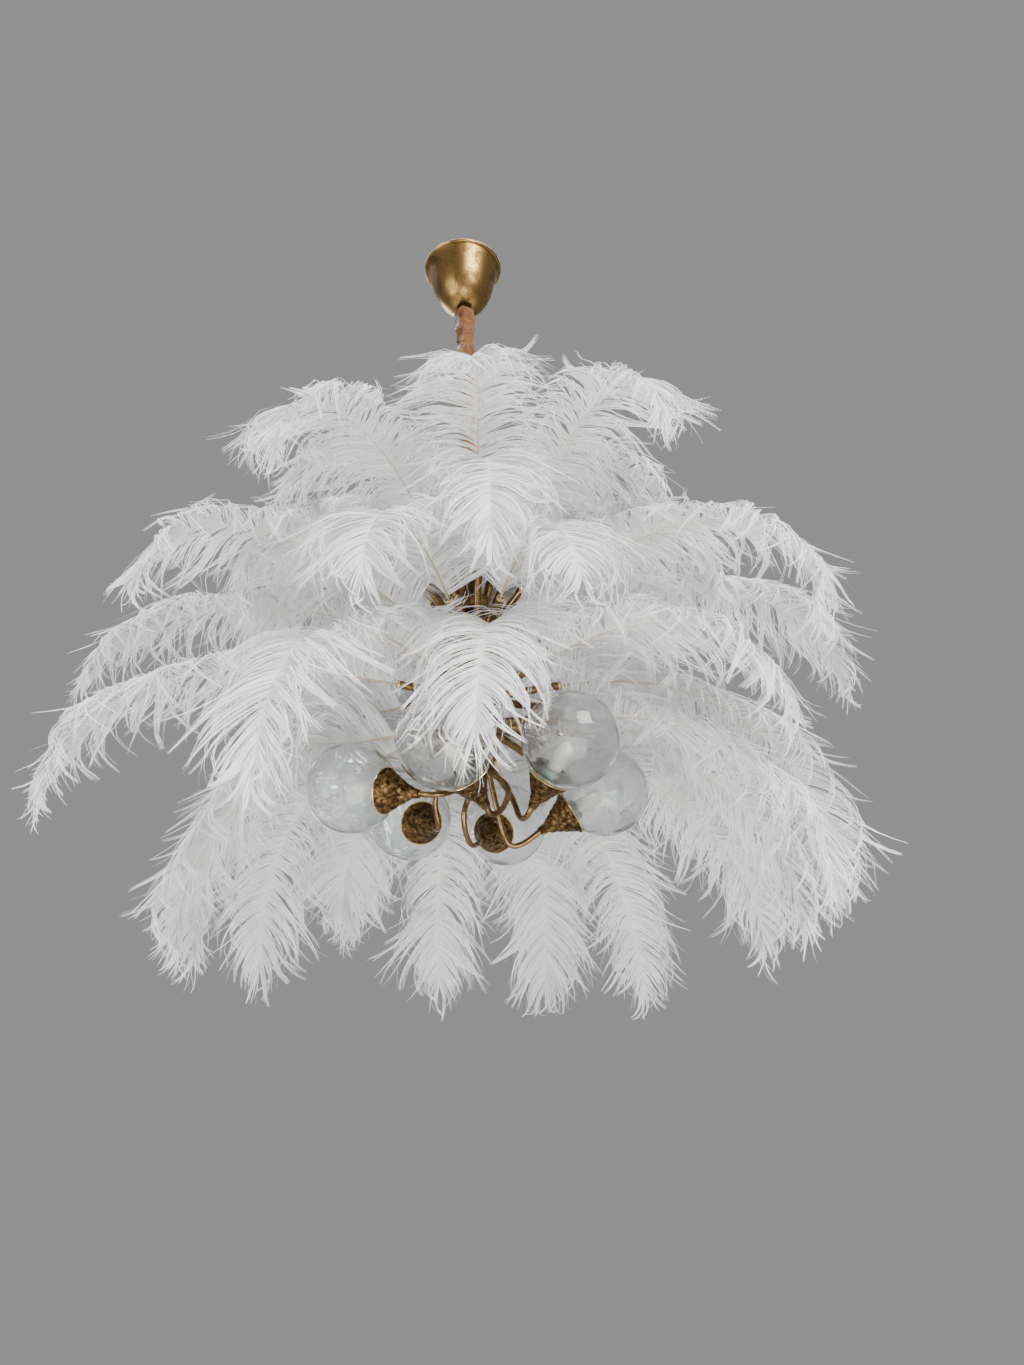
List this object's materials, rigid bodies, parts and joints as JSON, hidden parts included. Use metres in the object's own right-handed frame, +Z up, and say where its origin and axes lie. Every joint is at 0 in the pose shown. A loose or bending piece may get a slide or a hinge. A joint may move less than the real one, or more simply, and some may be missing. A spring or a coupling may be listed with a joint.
{
  "type": "feather chandelier",
  "caption": "Hanging chandelier: a bell canopy, a sleeved rope, a column with tiers of drooping white ostrich plumes, and swan-neck arms with hammered cups and clear glass globes.",
  "frame": {"origin": "middle of the bracket's top face, where the fixture meets the ceiling", "axes": "+Z up out of the ceiling face, -Y towards the front of the chandelier, +X to its right seen from the front"},
  "size_m": [0.9846, 0.836, 1.0641],
  "materials": {
    "steel": "satin",
    "antique_brass": "satin",
    "cast_brass": "satin",
    "lampholder": "satin",
    "frosted_bulb": "matte",
    "clear_glass": "gloss",
    "copper_satin": "satin",
    "plume": "matte"
  },
  "bodies": {
    "ceiling_fixture": {"mounting_bracket": "steel", "threaded_stem": "antique_brass", "canopy": "antique_brass", "canopy_nut": "antique_brass"},
    "hanging_swivel": {"swivel_eye": "steel", "sleeve_collar": "copper_satin"},
    "hanging_frame": {"fabric_sleeve": "copper_satin", "suspension_rope": "steel", "column_cap": "antique_brass", "column": "antique_brass", "arm_hub": "antique_brass", "plume_ring_1": "antique_brass", "plume_ring_2": "antique_brass", "plume_ring_3": "antique_brass", "plume_ring_4": "antique_brass", "plume_ring_5": "antique_brass", "plume_1": "plume", "plume_2": "plume", "plume_3": "plume", "plume_4": "plume", "plume_5": "plume", "plume_6": "plume", "plume_7": "plume", "plume_8": "plume", "plume_9": "plume", "plume_10": "plume", "plume_11": "plume", "plume_12": "plume", "plume_13": "plume", "plume_14": "plume", "arm_1": "antique_brass", "arm_2": "antique_brass", "arm_3": "antique_brass", "arm_4": "antique_brass", "arm_5": "antique_brass", "arm_6": "antique_brass", "cup_1": "cast_brass", "cup_2": "cast_brass", "cup_3": "cast_brass", "cup_4": "cast_brass", "cup_5": "cast_brass", "cup_6": "cast_brass", "lampholder_1": "lampholder", "lampholder_2": "lampholder", "lampholder_3": "lampholder", "lampholder_4": "lampholder", "lampholder_5": "lampholder", "lampholder_6": "lampholder"},
    "lamp_bulb_1": {"bulb_1": "frosted_bulb"},
    "lamp_globe_1": {"globe_1": "clear_glass"},
    "lamp_bulb_2": {"bulb_2": "frosted_bulb"},
    "lamp_globe_2": {"globe_2": "clear_glass"},
    "lamp_bulb_3": {"bulb_3": "frosted_bulb"},
    "lamp_globe_3": {"globe_3": "clear_glass"},
    "lamp_bulb_4": {"bulb_4": "frosted_bulb"},
    "lamp_globe_4": {"globe_4": "clear_glass"},
    "lamp_bulb_5": {"bulb_5": "frosted_bulb"},
    "lamp_globe_5": {"globe_5": "clear_glass"},
    "lamp_bulb_6": {"bulb_6": "frosted_bulb"},
    "lamp_globe_6": {"globe_6": "clear_glass"}
  },
  "joints": [
    {"name": "frame_turn", "type": "hinge", "parent": "ceiling_fixture", "child": "hanging_swivel", "pos_m": [0, 0, -0.0939], "axis": [0, 0, 1], "range_deg": [-90, 90]},
    {"name": "frame_swing", "type": "hinge", "parent": "hanging_swivel", "child": "hanging_frame", "pos_m": [0, 0, -0.1199], "axis": [1, 0, 0], "range_deg": [-10, 10]},
    {"name": "globe_1_lift", "type": "slide", "parent": "hanging_frame", "child": "lamp_globe_1", "axis": [-0.8754, 0.4082, 0.2588], "range_m": [0, 0.06]},
    {"name": "globe_2_lift", "type": "slide", "parent": "hanging_frame", "child": "lamp_globe_2", "axis": [-0.452, -0.6455, 0.6157], "range_m": [0, 0.06]},
    {"name": "globe_3_lift", "type": "slide", "parent": "hanging_frame", "child": "lamp_globe_3", "axis": [0.464, -0.6627, 0.5878], "range_m": [0, 0.06]},
    {"name": "globe_4_lift", "type": "slide", "parent": "hanging_frame", "child": "lamp_globe_4", "axis": [0.8744, -0.1229, 0.4695], "range_m": [0, 0.06]},
    {"name": "globe_5_lift", "type": "slide", "parent": "hanging_frame", "child": "lamp_globe_5", "axis": [0.3481, 0.8202, 0.454], "range_m": [0, 0.06]},
    {"name": "globe_6_lift", "type": "slide", "parent": "hanging_frame", "child": "lamp_globe_6", "axis": [-0.3597, 0.8473, 0.3907], "range_m": [0, 0.06]},
    {"name": "bulb_1_pull", "type": "slide", "parent": "hanging_frame", "child": "lamp_bulb_1", "axis": [-0.8754, 0.4082, 0.2588], "range_m": [0, 0.012]},
    {"name": "bulb_2_pull", "type": "slide", "parent": "hanging_frame", "child": "lamp_bulb_2", "axis": [-0.452, -0.6455, 0.6157], "range_m": [0, 0.012]},
    {"name": "bulb_3_pull", "type": "slide", "parent": "hanging_frame", "child": "lamp_bulb_3", "axis": [0.464, -0.6627, 0.5878], "range_m": [0, 0.012]},
    {"name": "bulb_4_pull", "type": "slide", "parent": "hanging_frame", "child": "lamp_bulb_4", "axis": [0.8744, -0.1229, 0.4695], "range_m": [0, 0.012]},
    {"name": "bulb_5_pull", "type": "slide", "parent": "hanging_frame", "child": "lamp_bulb_5", "axis": [0.3481, 0.8202, 0.454], "range_m": [0, 0.012]},
    {"name": "bulb_6_pull", "type": "slide", "parent": "hanging_frame", "child": "lamp_bulb_6", "axis": [-0.3597, 0.8473, 0.3907], "range_m": [0, 0.012]}
  ]
}
